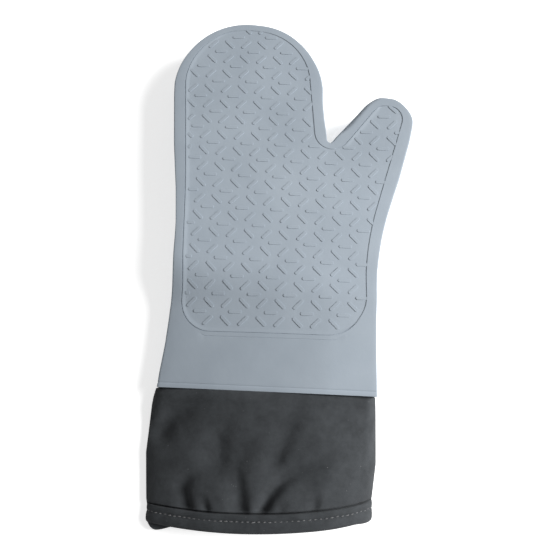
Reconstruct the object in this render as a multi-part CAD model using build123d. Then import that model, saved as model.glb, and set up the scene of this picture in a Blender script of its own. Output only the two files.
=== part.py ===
from build123d import *
import math
import os

# A long oven mitt: a moulded silicone hand with a tread of raised bars, a padded and lined inside,
# and a sewn fabric cuff with a topstitched hem. It lies on its back with the palm side up.
# X runs across the hand towards the thumb, Y towards the fingertips and Z up out of the palm.
# The origin is under the middle of the mitt, on the surface that it lies on.

# Hand: driving dimensions in millimetres
THICKNESS = 30.0
EDGE_ROUND = 12.0
SILICONE_WALL = 1.8
BATTING = 2.6
LINING = 0.6
LAYER_GAP = 0.25
RIM_Y = -95.8
RIM_BEAD_WIDTH = 2.5
RIM_BEAD_HEIGHT = 0.5

# Corners of the hand's outline, clockwise above the wrist: x, y, radius
CORNERS = [
    (-79.4, -20.3, 470.0),  # waist below the palm
    (-97.3, 193.3, 55.0),  # fingertips, outer side
    (17.5, 181.2, 55.0),  # fingertips, thumb side
    (28.5, 86.8, 3.0),  # crotch between the fingers and the thumb
    (59.2, 127.7, 22.0),  # thumb tip, inner side
    (97.7, 124.8, 21.0),  # thumb tip, outer side
    (67.5, 9.4, 260.0),  # base of the thumb
]

# The wrist's two sides run straight on past the rim, where the hand is cut
WRIST_OUTER = (-87.1, -142.0)
WRIST_INNER = (66.9, -142.0)
WRIST_CORNER = 25.0

# Grip panel, sunk into the palm and into the back
PANEL_DEPTH = 0.7
PANEL_MARGIN = 10.2
PANEL_END_Y = -57.5
PANEL_CORNER = 20.0
PANEL_BEND = 200.0  # longest radius on the panel's sides

# Tread bars, left standing in the sunk panel, flush with its margin
BAR_PITCH = 25.0
BAR_ROW = BAR_PITCH / 2
BAR_LENGTH = 9.0
BAR_WIDTH = 2.4
BAR_SLANT = 45.0
BAR_ORIGIN = (-14.5, 49.75)
BAR_ROWS = range(-12, 12)
BAR_COLUMNS = range(-5, 6)

# Lines on which the hand bends
CROTCH = (29.8, 91.7)
KNUCKLE_Y = 112.0
THUMB_BASE_WAY = Vector(0.53, -0.85)
CROTCH_WAY = Vector(0.26, 0.965)
CUT_GAP = 0.3
FAR = 260.0

# Cuff: rounded sections from the wrist to beyond the hem, each y, left, right, bottom, top
CUFF_SECTIONS = [
    (RIM_Y + 4.0, -85.0, 69.0, 0.3, 29.2),
    (-140.0, -87.0, 70.2, 0.3, 27.5),
    (-192.0, -80.0, 63.6, 0.3, 26.3),
]
CUFF_ROUND = 12.0
CUFF_FABRIC = 0.9
CUFF_PANEL_INSET = 1.1
CUFF_LINING_INSET = CUFF_PANEL_INSET + CUFF_FABRIC + LAYER_GAP
SEAM_ALLOWANCE = 12.0

# Hem: a band folded round the edge, which bows out in the middle
HEM_EDGE = [(-100.0, -180.3), (-22.0, -186.4), (80.0, -174.6)]
HEM_BAND = 14.0
HEM_FABRIC = 1.1
HEM_PROUD = 0.3
HEM_INNER_INSET = 4.3
STITCH_PITCH = 4.0
STITCH_SIZE = (2.7, 0.8, 0.6)
STITCH_LINE = 5.5
STITCH_START = -70.0
STITCH_COUNT = 32
STITCH_HEIGHTS = (26.9, 0.35)  # just sunk into the band, on its front and on its back

MIDDLE = THICKNESS / 2


def wrist_point(wrist, corner, y):
    """Where the straight side of the wrist passes a given y."""
    share = (y - wrist[1]) / (corner[1] - wrist[1])
    return (wrist[0] + share * (corner[0] - wrist[0]), y)


def hand_outline(end_y, end_corner, longest_radius):
    """The hand's outline in plan, ended straight across the wrist with two rounded corners."""
    start = wrist_point(WRIST_OUTER, CORNERS[0], end_y)
    end = wrist_point(WRIST_INNER, CORNERS[-1], end_y)
    points = [start] + [(x, y) for x, y, radius in CORNERS] + [end]
    radii = [end_corner] + [min(radius, longest_radius) for x, y, radius in CORNERS] + [end_corner]
    return make_face(FilletPolyline(*points, radius=radii, close=True))


OUTLINE = hand_outline(WRIST_OUTER[1], WRIST_CORNER, math.inf)


def hand_body(inset):
    """The whole hand as a rounded solid, shrunk all round by an inset."""
    plan = offset(OUTLINE, amount=-inset) if inset else OUTLINE
    solid = Pos(0, 0, inset) * extrude(plan, amount=THICKNESS - 2 * inset)
    faces = solid.faces().sort_by(Axis.Z)
    return fillet(faces[0].edges() + faces[-1].edges(), radius=EDGE_ROUND - inset)


def slab(low, high):
    """Everything between two heights."""
    return Pos(0, 0, (low + high) / 2) * Box(3 * FAR, 3 * FAR, high - low)


def zone(*points):
    """A plan polygon drawn in by half the cut gap, so that neighbouring zones stay apart."""
    plan = offset(make_face(Polyline(*points, close=True)), amount=-CUT_GAP / 2, kind=Kind.INTERSECTION)
    return Pos(0, 0, -FAR / 2) * extrude(plan, amount=FAR)


def bar_places():
    """Centre and turn of each bar of the tread. Rows step sideways by half a pitch; each cell holds a bar
    slanting down, one slanting up half a pitch on, and a level one between that and the next cell."""
    places = []
    for row in BAR_ROWS:
        y = BAR_ORIGIN[1] - BAR_ROW * row
        for column in BAR_COLUMNS:
            x = BAR_ORIGIN[0] + BAR_PITCH * (column + (row % 2) / 2)
            places.append((x, y, -BAR_SLANT))
            places.append((x + BAR_PITCH / 2, y, BAR_SLANT))
            places.append((x + BAR_PITCH * 3 / 4, y - BAR_ROW / 2, 0))
    return places


def grip_panel():
    """Plan of the sunk panel: the hand's outline drawn in by the margin, without its bars."""
    outline = hand_outline(PANEL_END_Y - PANEL_MARGIN, PANEL_CORNER + PANEL_MARGIN, PANEL_BEND)
    bars = [Pos(x, y) * Rot(0, 0, turn) * SlotOverall(BAR_LENGTH, BAR_WIDTH) for x, y, turn in bar_places()]
    return offset(outline, amount=-PANEL_MARGIN) - bars


def cuff_tube(inset):
    """The cuff as a solid lofted through its sections, shrunk all round by an inset."""
    sections = []
    for y, left, right, bottom, top in CUFF_SECTIONS:
        plane = Plane(((left + right) / 2, y, (bottom + top) / 2), x_dir=(1, 0, 0), z_dir=(0, -1, 0))
        width = right - left - 2 * inset
        height = top - bottom - 2 * inset
        sections.append(plane * RectangleRounded(width, height, CUFF_ROUND - inset))
    return loft(sections)


def hem_curve(rise):
    """The hem's bowed edge in plan, moved up the cuff by a distance."""
    return ThreePointArc(*[(x, y + rise) for x, y in HEM_EDGE])


def cuff_from(rise):
    """All of the cuff between the wrist and the bowed hem edge moved up by a distance."""
    edge = hem_curve(rise)
    start, end = edge @ 0, edge @ 1
    wrist_y = RIM_Y - CUT_GAP / 2
    plan = make_face(edge + Polyline(end, (end.X, wrist_y), (start.X, wrist_y), start))
    return Pos(0, 0, -FAR / 2) * extrude(plan, amount=FAR)


def cuff_layer(inset, thickness, stretch):
    """One layer of the cuff's wall over a stretch of its length."""
    return (cuff_tube(inset) - cuff_tube(inset + thickness)) & stretch


# Zones of the hand that bend against each other
crotch = Vector(*CROTCH)
knuckle = crotch + CROTCH_WAY * ((KNUCKLE_Y - crotch.Y) / CROTCH_WAY.Y)
gap_end = crotch + CROTCH_WAY * FAR
base_end = crotch + THUMB_BASE_WAY * ((RIM_Y - crotch.Y) / THUMB_BASE_WAY.Y)
ZONES = {
    "palm": zone((-FAR, RIM_Y), base_end, crotch, knuckle, (-FAR, KNUCKLE_Y)),
    "fingers": zone((-FAR, KNUCKLE_Y), knuckle, gap_end, (-FAR, gap_end.Y)),
    "thumb": zone(crotch, base_end, (FAR, RIM_Y), (FAR, gap_end.Y), gap_end),
}
HALVES = {
    "front": slab(MIDDLE + CUT_GAP / 2, FAR),
    "back": slab(-FAR, MIDDLE - CUT_GAP / 2),
}

# Silicone hand: a closed skin, sunk at the grip panels, with a bead round its open wrist edge
panel_cut = extrude(grip_panel(), amount=2 * PANEL_DEPTH)
bead_stretch = Pos(0, RIM_Y + RIM_BEAD_WIDTH / 2) * Box(2 * FAR, RIM_BEAD_WIDTH, FAR)
hollow = hand_body(SILICONE_WALL)
bead = (hand_body(-RIM_BEAD_HEIGHT) - hollow) & bead_stretch & slab(0, FAR)
silicone = hand_body(0) - hollow
silicone -= Pos(0, 0, THICKNESS - PANEL_DEPTH) * panel_cut
silicone -= Pos(0, 0, -PANEL_DEPTH) * panel_cut

# Padding and lining: two layers inside the skin, each a front and a back piece sewn at the edge
batting_inset = SILICONE_WALL + LAYER_GAP
lining_inset = batting_inset + BATTING + LAYER_GAP
batting = hand_body(batting_inset) - hand_body(batting_inset + BATTING)
lining = hand_body(lining_inset) - hand_body(lining_inset + LINING)
padded_stretch = Pos(0, RIM_Y + SEAM_ALLOWANCE + LAYER_GAP + FAR) * Box(2 * FAR, 2 * FAR, FAR)

nodes = {}
for name, area in ZONES.items():
    nodes[f"{name}_shell"] = silicone & area
    for side, half in HALVES.items():
        nodes[f"{name}_batting_{side}"] = batting & padded_stretch & area & half
        nodes[f"{name}_lining_{side}"] = lining & area & half
nodes["palm_shell"] += bead & ZONES["palm"]

# Edge of the cuff fabric, bonded inside the rim of the silicone
seam_stretch = Pos(0, RIM_Y + SEAM_ALLOWANCE - FAR) * Box(2 * FAR, 2 * FAR, FAR)
seam_ring = hand_body(batting_inset) - hand_body(batting_inset + CUFF_FABRIC)
nodes["cuff_seam_allowance"] = seam_ring & seam_stretch & ZONES["palm"]

# Cuff: an outer fabric and a lining, each a front and a back panel, tucked into the hem band
tucked = cuff_from(HEM_FABRIC + LAYER_GAP)
for side, half in HALVES.items():
    nodes[f"cuff_{side}_panel"] = cuff_layer(CUFF_PANEL_INSET, CUFF_FABRIC, tucked) & half
    nodes[f"cuff_lining_{side}"] = cuff_layer(CUFF_LINING_INSET, LINING, tucked) & half

# Hem band: folded round the edge of the cuff, so that its section is a U
slot_inset = CUFF_PANEL_INSET - LAYER_GAP
slot_depth = CUFF_FABRIC + LINING + 3 * LAYER_GAP
band = cuff_layer(-HEM_PROUD, HEM_INNER_INSET + HEM_PROUD, cuff_from(0) - cuff_from(HEM_BAND))
nodes["hem_band"] = band - cuff_layer(slot_inset, slot_depth, cuff_from(HEM_FABRIC))

# Topstitching: one row through the hem band, seen on its front and on its back
hem_line = hem_curve(HEM_BAND - STITCH_LINE)
hem_span = HEM_EDGE[-1][0] - HEM_EDGE[0][0]
stitches = []
for index in range(STITCH_COUNT):
    along = (STITCH_START + STITCH_PITCH * index - HEM_EDGE[0][0]) / hem_span
    place = hem_line @ along
    way = hem_line % along
    turn = math.degrees(math.atan2(way.Y, way.X))
    for height in STITCH_HEIGHTS:
        stitches.append(Pos(place.X, place.Y, height) * Rot(0, 0, turn) * Box(*STITCH_SIZE))
nodes["hem_stitches"] = Compound(children=stitches)

os.makedirs("parts", exist_ok=True)
for name, node in nodes.items():
    export_step(node, f"parts/{name}.step")
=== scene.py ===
from contextlib import contextmanager

import bmesh
import bpy
import numpy as np
from mathutils import Matrix, Vector
from mathutils.geometry import delaunay_2d_cdt


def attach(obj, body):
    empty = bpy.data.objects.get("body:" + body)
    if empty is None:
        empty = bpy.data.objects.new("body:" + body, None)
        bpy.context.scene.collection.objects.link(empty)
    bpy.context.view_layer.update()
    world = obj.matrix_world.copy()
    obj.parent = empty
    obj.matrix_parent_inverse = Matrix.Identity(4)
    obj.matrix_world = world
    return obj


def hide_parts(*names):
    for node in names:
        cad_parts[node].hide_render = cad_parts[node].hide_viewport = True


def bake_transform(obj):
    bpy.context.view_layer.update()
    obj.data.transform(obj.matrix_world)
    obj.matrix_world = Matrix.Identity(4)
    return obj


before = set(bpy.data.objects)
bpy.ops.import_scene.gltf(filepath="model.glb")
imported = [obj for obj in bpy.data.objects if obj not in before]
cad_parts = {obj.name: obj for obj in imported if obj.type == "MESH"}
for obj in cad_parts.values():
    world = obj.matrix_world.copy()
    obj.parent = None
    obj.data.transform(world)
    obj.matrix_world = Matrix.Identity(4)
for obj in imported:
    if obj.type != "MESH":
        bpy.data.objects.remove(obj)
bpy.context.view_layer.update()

# A long oven mitt lying palm up: a moulded silicone hand with a sunk grip panel and raised tread bars,
# padding and a cotton lining inside it, and a sewn fabric cuff with a topstitched hem.
# Shapes are worked out in millimetres and put into the meshes in metres.
MM = 0.001

# Hand
THICKNESS = 30.0
MIDDLE = THICKNESS / 2
SHOULDER = 6.2  # plan distance from the solid's outline to the top of the rounded side
SQUARENESS = 12.0  # power of its superellipse above its widest place: 2 is an ellipse
LOWER_SQUARENESS = 2.2  # the same below it
SOFT_SQUARENESS = 2.6  # and on the thumb's inner side, which is rounder
EQUATOR = 0.66  # height of the widest place, as a share of the thickness there
CROWN = 0.3  # drop of the palm side at the outer side's outline, and how far in it reaches
CROWN_REACH = 11.0
CROWN_SIDE = (20.0, 80.0)  # x where the crown starts, and how far to the left it takes to grow
UNDER_CROWN = 6.0  # rise of the back at the outline, and how far in it reaches
UNDER_REACH = 24.0
UNDER_START = 30.0  # over what length from the rim it grows
THUMB_INNER_WAY = np.array([-0.8, 0.6])
SOFT_START = 0.5  # how far a normal points that way where the rounder side starts, and over what it grows
SOFT_GROWTH = 0.45
SIDE_TURN = 0.3  # how far a normal points along x where the outer side's tuck has become the inner side's
OUTER_TUCK = [  # y and how far the outer side is drawn in there from the solid's outline
    (-96.0, -1.0), (-86.0, -0.9), (-66.0, 0.3), (-43.0, 0.5), (0.0, 1.7), (20.0, 2.9),
    (45.0, 2.9), (81.0, 1.4), (120.0, 1.3), (160.0, 2.9),
]
INNER_TUCK = [  # the same on the thumb's side
    (-96.0, 1.9), (-86.0, 2.2), (-66.0, 2.9), (-45.0, 3.2), (15.0, 2.1), (60.0, 0.4), (104.0, 1.2),
    (118.0, 1.2), (130.0, 0.2), (155.0, 2.4), (170.0, 3.0),
]
TIP_TUCK = [(85.0, 0.5), (120.0, 3.4), (186.0, 2.3)]  # what is added where the outline faces +Y
LEAST_SHOULDER = 0.8
CROTCH_RADIUS = 1.8
CROTCH_NARROWING = 4.6  # how much nearer to the outline the shoulder ends round the crotch
CROTCH_REACH = 16.0
CROTCH_DEEPER = (-0.56, -1.95)  # from the solid's corner to the soft skin's
THUMB_INNER_TUCK = [(95.0, 0.0), (122.0, 1.8)]  # what there is instead on the thumb's inner side
THUMB_OUTER_TUCK = 2.2  # what is added on the outer side of the thumb's tip, from where and over what
THUMB_TUCK_START = (35.0, 85.0)
THUMB_TUCK_REACH = (20.0, 35.0)
WALL = 1.8
RIM_Y = -95.8
CORNERS = [  # x, y and radius of each corner, from the wrist's outer side round to its inner side
    (-79.4, -20.3, 470.0),
    (-97.3, 193.3, 55.0),
    (17.5, 181.2, 55.0),
    (28.5, 86.8, 3.0),
    (59.2, 127.7, 22.0),
    (97.7, 124.8, 21.0),
    (67.5, 9.4, 260.0),
]
CROTCH_CORNER = 3  # its place in that list
WRIST_OUTER = (-87.1, -142.0)
WRIST_INNER = (66.9, -142.0)
PATH_STEP = 2.2
SIDE_BOW = 0.004  # outward bow of a straight side, so that no three of its points are in line
ARC_STEP = np.radians(7.0)
SIDE_TURNS = 13  # rows from the middle of the side to the top of the shoulder
RIM_COLUMNS = 44
RIM_ROWS = np.array([0.0, 0.35, 0.8, 1.3, 1.8, 2.2, 2.55, 2.9, 3.25, 3.6, 4.2, 5.2, 7.0])
BEAD_HEIGHT = 0.07
BEAD_WIDTH = 2.6
GROOVE_DEPTH = 0.22
GROOVE_HALF = 0.6
RIM_FACING = 0.9  # how far a normal points along y on the rim's end, which keeps its place
FILL_STEP = 4.5  # spacing of the points on the flat stretches, and that of their rows as a share of it
FILL_ROW = 0.866
MARGIN_ROOM = 2.5  # room of these points from what borders them
PANEL_ROOM = 2.0
FLOOR_ROOM = 1.5
COARSE_ROOM = 3.0
MERGE = 2e-6  # points closer than this are one, in metres
CUT_MERGE = 1e-7  # the same on the thumb's cut
FILL_MERGE = 1e-6  # the same in the flat nets, in millimetres

# Arch of the wrist, low over the palm, growing quickly below it and slowly on to the cuff
ARCH_START_Y = -2.0
ARCH_LENGTH = 38.0
ARCH_REST = 0.2  # share of the arch that grows slowly
ARCH_REST_LENGTH = 85.0
# Lean of the palm: y and slope down towards the thumb, and where it starts from
LEAN = [(-30.0, 0.0), (-10.0, 0.036), (45.0, 0.034), (110.0, 0.01), (186.0, -0.017)]
LEAN_X = -75.0
THUMB_RISE = 0.045  # slope up towards the thumb's outer side, past an x, growing between two y
THUMB_RISE_X = 28.0
THUMB_RISE_Y = (50.0, 90.0)
ARCH_HEIGHT = 14.0
PALM_ARCH = 0.13  # share of that height over the palm
ARCH_CREST = 0.55  # its crest, as a share of the half width right of the middle
ARCH_POWER = 1.4
ARCH_RIGHT = 0.9  # drop at its right side
CUFF_ARCH_POWER = 2.2
TOP_GAP = 0.3  # from the thickness down to the palm side's mean level
PALM_WAVE = (0.22, 23.0, 31.0, 0.7)  # height of its slow waves, their size along x and y, and their start
SKIN_WAVE = (0.12, 11.0, 17.0)  # the same for small ones

# Grip panel
PANEL_MARGIN = 10.2
PANEL_DRAW = 2.2  # how much nearer to the outline the broad edge lies at the palm's lower half
DRAW_END_Y = 62.0
DRAW_LENGTH = 80.0
PANEL_END_Y = -54.4
PANEL_CORNER = 20.0
PANEL_INNER_CORNER = 26.0
PANEL_BEND = 200.0
PANEL_DEPTH = 0.36
PANEL_EDGE = np.array([  # distances into the panel of the rings that make its edge
    -1.0, -0.9, -0.8, -0.75, -0.7, -0.65, -0.6, -0.5,
    -0.32, -0.26, -0.12, 0.0, 0.12, 0.26, 0.32, 0.5, 0.8, 1.3, 2.0, 2.8, 3.8,
])
LOWER_EDGE = np.array([-4.4, -3.8, -3.52, -3.46, -3.2, -2.94, -2.88, -2.2])  # the first at the lower end
CRISP_EDGE = 0.45  # width of the panel's step on the thumb side and round the fingertips
BROAD_EDGE = 3.6  # width of it on the outer side and across the wrist
SCORE_DEPTH = 0.4  # depth of the line scored along the broad edge
SCORE_HALF = 0.26  # its half width, and the width of its flanks
SCORE_FLANK = 0.06
LOWER_LINE = -3.2  # place and depth of the second line, below the panel's lower end
LOWER_SCORE = 0.17
BROAD_SIDE = np.array([-0.88, -0.48])
# How far a normal points to the broad side where each starts to grow, and over what
BROAD_GROWTH = (-0.1, 0.35)
SCORE_GROWTH = (-0.45, 0.35)
MARGIN_GROWTH = (-0.6, 1.2)
LOWER_GROWTH = (0.93, 0.06)  # the same for the second line, by how far it points to the cuff

# Tread bars
BAR_PITCH = 25.0
BAR_ROW = BAR_PITCH / 2
BAR_LENGTH = 9.0
BAR_WIDTH = 2.4
BAR_SLANT = np.radians(45.0)
BAR_ORIGIN = (-13.9, 51.5)
BAR_LEAN = 0.0115  # how far the rows drift sideways per millimetre up the hand
BAR_TURNS = 14
BAR_ROWS = np.arange(-12, 12)
BAR_COLUMNS = np.arange(-5, 6)
BAR_SAMPLES = 25
BAR_SHARP = 40.0  # angle in degrees past which an edge stays sharp
LEVEL_BAR_PLACE = 0.75  # sideways from a slanting bar, in pitches
BAR_PROFILE = [(1.0, -0.3), (1.0, 0.27), (0.95, 0.31), (0.88, 0.31)]  # share of the half width, height
BAR_END_ROOM = 0.5  # how far a bar runs on into the margin at the crisp edge
BAR_END_GAP = 2.0  # how far it stops short of the margin at the broad edge
BAR_SHORTEST = 3.0
BAR_LEAST_DEPTH = 1.6  # how far into the panel some of a bar has to reach
LEVEL_BAR_ROOM = 3.0  # how far a level bar keeps from the panel's lower end

# Lines on which the hand bends
CROTCH = np.array([29.8, 91.7])
THUMB_ALONG = np.array([0.85, 0.53])  # square to the line on which the thumb bends
GAP_SIDE = np.array([0.965, -0.26])  # towards the thumb, square to the middle of the gap beside it

# Layers inside the hand: inset from the outside and thickness
LAYER_GAP = 0.25
BATTING_INSET = WALL + LAYER_GAP
BATTING = 2.6
LINING_INSET = BATTING_INSET + BATTING + LAYER_GAP
LINING = 0.6
QUILT_PITCH = 26.0
QUILT_PUFF = 0.9
QUILT_LEVEL = 0.3  # share of the half thickness where the puffs start, and over what they grow
LAYER_END_Y = -83.5  # where both end, clear of the cuff cloth that is bonded under the rim

# Cuff: y, left, right and top of its sections, with the arch's drops at the left and the right
CUFF_SECTIONS = np.array([
    (-85.0, -81.4, 63.4, 26.4, 14.0, 1.2),
    (-94.6, -81.8, 63.6, 26.4, 14.0, 1.2),
    (-96.4, -87.2, 65.9, 27.8, 14.0, 1.6),
    (-102.0, -88.4, 66.2, 28.8, 15.0, 3.0),
    (-108.0, -89.1, 66.5, 29.4, 16.0, 4.5),
    (-140.0, -90.6, 67.5, 29.6, 19.5, 9.0),
    (-170.0, -87.5, 64.2, 29.0, 19.5, 9.0),
    (-192.0, -83.2, 58.4, 28.2, 18.5, 8.5),
])
CUFF_BOTTOM = 1.5
CUFF_SIDE = 8.5
CUFF_LEAST = 3.0  # least height that a fold leaves above the underside
CUFF_FABRIC = 0.9
CUFF_TOP_COLUMNS = 110
CUFF_ROWS = 104
ROW_SPREAD = [  # shares of the rows and of the length: rows crowd together at the rim and at the hem's seam
    (0.0, 0.05, 0.15, 0.72, 0.95, 1.0),
    (0.0, 0.085, 0.125, 0.84, 0.905, 1.0),
]
CUFF_SIDE_TURNS = 21
CUFF_START_Y = -86.0
CUFF_LINING_START_Y = -84.3
CUFF_LINING_INSET = 1.3
CUFF_END_LIFT = 1.4  # how far the cloth and the lining end above the hem's edge
CUFF_RIM_REACH = 10.0  # over what distance the folds grow from the rim, and from the hem band's top
CUFF_HEM_REACH = 4.0
CUFF_HELD = 1.0  # how far below both that starts
CUFF_FACE = 0.8  # share of the side's height over which they fade
CUFF_SWELL = 0.7  # heights of the cloth's slow swells, its ripples and the swells of its underside
CUFF_RIPPLE = 0.3
UNDER_SWELL = 0.35
UNDER_SWELL_REACH = 6.0  # over what drop below the middle those grow
SWELL_SIZES = (13.0, 21.0, 12.0, 30.0)
RIPPLE_SIZES = (8.0, 9.0)
UNDER_SIZES = (17.0, 14.0)
HEM_LOW_Y = -186.0  # y of the hem before its bow is known, for the cloth and for the band
HEM_MIDDLE_Y = -182.0
HEM_EDGE = [(-100.0, -183.6), (-22.0, -185.6), (80.0, -170.7)]
CORNER_DROP = 5.0  # how much longer the back of the hem is at the outer corner
CORNER_X = -60.0
CORNER_REACH = 22.0
INNER_CORNER_DROP = 1.4  # how much lower the band's lower edge hangs at the inner corner
INNER_CORNER_X = 51.0
INNER_CORNER_REACH = 12.0
HEM_BAND = 11.8
SEAM_DEPTH = 4.0  # slit where the cloth meets the hem band, its place above the band and its half width
SEAM_ABOVE = 0.12
SEAM_HALF = 0.48
HEM_PROFILE = np.array([  # height above the edge, distance out from the cuff's outside
    (11.4, -3.4), (11.7, -3.0), (11.4, -2.6), (6.8, -2.5), (1.6, -2.4), (1.2, -1.2), (1.6, 0.05),
    (6.8, 0.1), (11.3, 0.05), (11.8, 0.35), (11.5, 0.85), (10.7, 1.05), (9.3, 1.1), (8.4, 1.0),
    (7.85, 0.75), (7.45, 0.62), (7.05, 0.75), (6.4, 1.0), (4.4, 1.2), (2.3, 1.15), (1.0, 0.8),
    (0.25, 0.1), (0.0, -1.0), (0.2, -2.1), (0.9, -3.0), (2.4, -3.4), (6.8, -3.5),
])
HEM_WAVES = [(0.25, 9.0, 0.5), (0.15, 4.3, 0.0)]  # height, size along x and start of its waves
HEM_LEAST = 0.05  # its least height above the floor
HEM_SHARP = 60.0
STITCH_LINE = 4.35
STITCH_PITCH = 3.6
STITCH_LENGTH = 2.5
STITCH_WIDTH = 0.6
STITCH_SEED = 11
STITCH_OUT = 0.62  # from the cuff's outside to the middle of the thread
STITCH_LEAN = np.radians(7.0)
STITCH_STRAY = 0.22  # how far one may lie off the line
STITCH_PROBE = 0.5  # half the distance over which its direction is taken
STITCH_SHARES = (0.65, 1.2)  # shortest and longest, for the length
STITCH_SIDES = 8
STITCH_RINGS = np.array([  # shares of the length and the half width, and how far it stands out
    (-0.5, 0.15, -0.5), (-0.42, 0.7, -0.12), (-0.22, 1.0, 0.12),
    (0.22, 1.0, 0.12), (0.42, 0.7, -0.12), (0.5, 0.15, -0.5),
])

# Folds of the cuff
VALLEY_SHIFT = 0.7  # from the middle of a fold's right flank to its valley, in widths
CREASE_FADE = 0.92
CREASE_STEPS = 40
# Points from the hem upwards, depth for its width, width at the hem, widening and left flank's share
CREASES = [
    ([(-55.0, -172.0), (-58.5, -160.0), (-54.5, -155.5), (-46.0, -151.5), (-35.0, -147.0)],
     1.05, 3.0, 2.6, 2.0),
    ([(-42.5, -172.5), (-44.0, -166.0)], 1.0, 1.7, 0.8, 2.0),
    ([(-18.0, -173.0), (-20.0, -159.0), (-23.0, -146.0), (-14.0, -134.0)], 0.85, 3.5, 3.0, 2.2),
    ([(-34.0, -141.0), (-35.0, -127.0), (-26.0, -113.0), (-23.0, -100.0)], 0.4, 7.0, 2.0, 1.6),
    ([(3.5, -140.0), (7.0, -131.0), (12.0, -120.0), (16.0, -106.0)], 0.58, 4.2, 2.0, 1.8),
    ([(-6.0, -172.0), (-1.0, -163.0), (5.5, -155.0), (14.0, -149.0), (24.0, -144.5), (37.0, -141.0)],
     1.65, 2.6, 2.6, 1.7),
    ([(5.0, -172.5), (6.5, -168.5)], 0.6, 1.5, 0.5, 1.6),
    ([(27.0, -170.0), (29.0, -159.0)], 0.9, 2.0, 1.0, 2.0),
    ([(-76.0, -128.0), (-70.0, -119.5), (-58.0, -112.0), (-42.0, -105.0)], 0.62, 6.0, 2.0, 1.6),
]

# Camera: the photograph's, found from the outline of the mitt
CAMERA_PLACE = (0.00102, -0.10417, 0.40831)
CAMERA_WAY = (-0.0111, 0.2179, -0.9759)
CAMERA_RIGHT = (0.9989, 0.046, -0.0011)
LENS = 36.0

# Light, in metres and watts
FLOOR_SIZE = 3.0
FLOOR_GLOW = 0.66
FILL = 0.2
KEY_SIZE = 0.85
KEY_ENERGY = 68.5
KEY_AIM = Vector((0.0, 0.0, 0.02))
KEY_WAY = Vector((0.81, 0.16, 0.54)).normalized()
KEY_DISTANCE = 2.0
WHITE = (1.0, 1.0, 1.0, 1.0)
WAVE_BANDS = 3.1831  # bands per metre of a wave texture whose scale is 1


def make_camera():
    """Camera at the photograph's viewing angle, its three axes given by its view and its right side."""
    data = bpy.data.cameras.new("camera")
    data.lens = LENS
    data.sensor_width = LENS
    data.sensor_fit = "AUTO"
    data.clip_start = 0.01
    camera = bpy.data.objects.new("camera", data)
    way = Vector(CAMERA_WAY).normalized()
    right = Vector(CAMERA_RIGHT)
    right = (right - way * right.dot(way)).normalized()
    up = right.cross(way)
    turn = Matrix((right, up, -way)).transposed().to_4x4()
    camera.matrix_world = Matrix.Translation(CAMERA_PLACE) @ turn
    bpy.context.scene.collection.objects.link(camera)
    bpy.context.scene.camera = camera


def smooth(value):
    """Smoothstep: 0 below 0, 1 above 1, and an S curve between."""
    value = np.clip(value, 0.0, 1.0)
    return value * value * (3 - 2 * value)


def grown(value, growth):
    """Smoothstep of a value from where it starts to grow, over a length."""
    start, length = growth
    return smooth((value - start) / length)


def bump(value):
    """A round hill: 1 at 0, falling to 0 at 1 either way, as a raised cosine."""
    return 0.5 + 0.5 * np.cos(np.pi * np.clip(np.abs(value), 0.0, 1.0))


def rounded_path(points, radii, closed):
    """Points and outward normals along a clockwise polyline whose corners are arcs tangent to both sides.
    Each corner is cut back by its radius times the tangent of half its turn, and all is divided evenly."""
    points = np.asarray(points, float)
    count = len(points)
    places, normals = [], []
    trims = np.zeros(count)
    corners = range(count) if closed else range(1, count - 1)
    ways = np.roll(points, -1, 0) - points
    lengths = np.hypot(*ways.T)
    ways = ways / lengths[:, None]
    turns = np.zeros(count)
    for k in corners:
        before, after = ways[k - 1], ways[k]
        turns[k] = np.arctan2(before[0] * after[1] - before[1] * after[0], before @ after)
        trims[k] = radii[k] * abs(np.tan(turns[k] / 2))
    for k in range(count):
        before, after = ways[k - 1], ways[k]
        if turns[k]:
            side = np.sign(turns[k])
            start = points[k] - before * trims[k]
            inward = side * np.array([-before[1], before[0]])
            centre = start + inward * radii[k]
            steps = int(np.ceil(max(abs(turns[k]) / ARC_STEP, abs(turns[k]) * radii[k] / PATH_STEP, 2)))
            angle = np.linspace(0, turns[k], steps + 1)[:, None]
            spoke = -np.cos(angle) * inward + np.sin(angle) * side * before
            places.append(centre + radii[k] * spoke)
            normals.append(spoke * -side)
        if closed or k < count - 1:
            length = lengths[k] - trims[k] - trims[(k + 1) % count]
            steps = int(max(np.ceil(length / PATH_STEP), 1))
            share = np.linspace(0, 1, steps + 1)[1:-1, None] if steps > 1 else np.zeros((0, 1))
            outward = np.array([-after[1], after[0]])
            bow = SIDE_BOW * 4 * share * (1 - share) * outward
            places.append(points[k] + after * (trims[k] + share * length) + bow)
            normals.append(np.repeat(outward[None], len(share), 0))
    return np.concatenate(places), np.concatenate(normals)


def wrist_x(y):
    """Left and right side of the wrist at a height y: the two straight sides of the outline."""
    left = np.interp(y, [WRIST_OUTER[1], CORNERS[0][1]], [WRIST_OUTER[0], CORNERS[0][0]])
    right = np.interp(y, [WRIST_INNER[1], CORNERS[-1][1]], [WRIST_INNER[0], CORNERS[-1][0]])
    return left, right


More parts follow.
